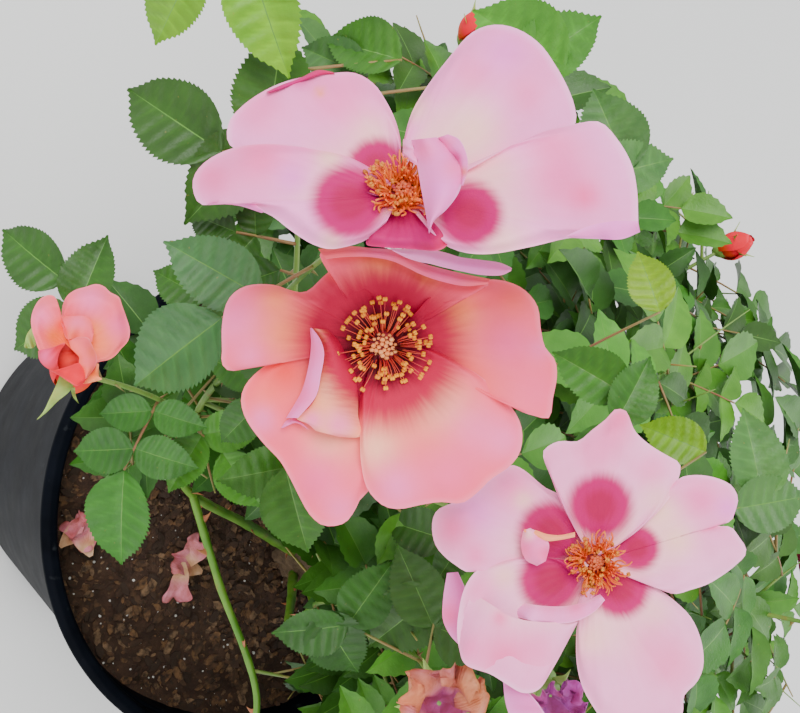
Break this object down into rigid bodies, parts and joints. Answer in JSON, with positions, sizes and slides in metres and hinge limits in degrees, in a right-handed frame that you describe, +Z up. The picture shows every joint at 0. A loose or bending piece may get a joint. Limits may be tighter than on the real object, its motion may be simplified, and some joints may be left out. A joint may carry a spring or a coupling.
{
  "type": "potted rose bush",
  "caption": "Rose bush with single pink blooms on green canes, standing in a black plastic nursery pot.",
  "frame": {"origin": "centre of the pot's flat underside, on the surface it stands on", "axes": "+Z up, -Y towards the side the plant is looked at from, +X to that viewer's right"},
  "size_m": [0.5128, 0.5119, 0.6354],
  "materials": {
    "pot_plastic": "black moulded plastic, satin, a little dusty",
    "soil": "damp bark and peat compost with pale grit",
    "old_bark": "rough brown graft bark",
    "green_cane": "smooth green rose cane with prickles",
    "foliage": "semi-gloss pinnate leaves with fine teeth",
    "petals": "soft satin petals, rose at the heart, cream and pale pink outside",
    "stamens": "yellow to orange anthers on red filaments"
  },
  "bodies": {
    "root": {"pot": "pot_plastic", "soil": "soil", "stem_base": "old_bark", "cane_front_left": "green_cane", "cane_left": "green_cane", "cane_back_left": "green_cane", "cane_back": "green_cane", "cane_back_right": "green_cane", "cane_right": "green_cane", "cane_middle": "green_cane", "bough_front_right": "green_cane", "bough_crown_left": "green_cane", "bough_crown_back": "green_cane", "bough_crown_right": "green_cane", "foliage_front_left": "foliage", "foliage_left": "foliage", "foliage_back_left": "foliage", "foliage_back": "foliage", "foliage_back_right": "foliage", "foliage_right": "foliage", "foliage_middle": "foliage", "foliage_front_right": "foliage", "foliage_crown_left": "foliage", "foliage_crown_back": "foliage", "foliage_crown_right": "foliage"}
  },
  "joints": []
}
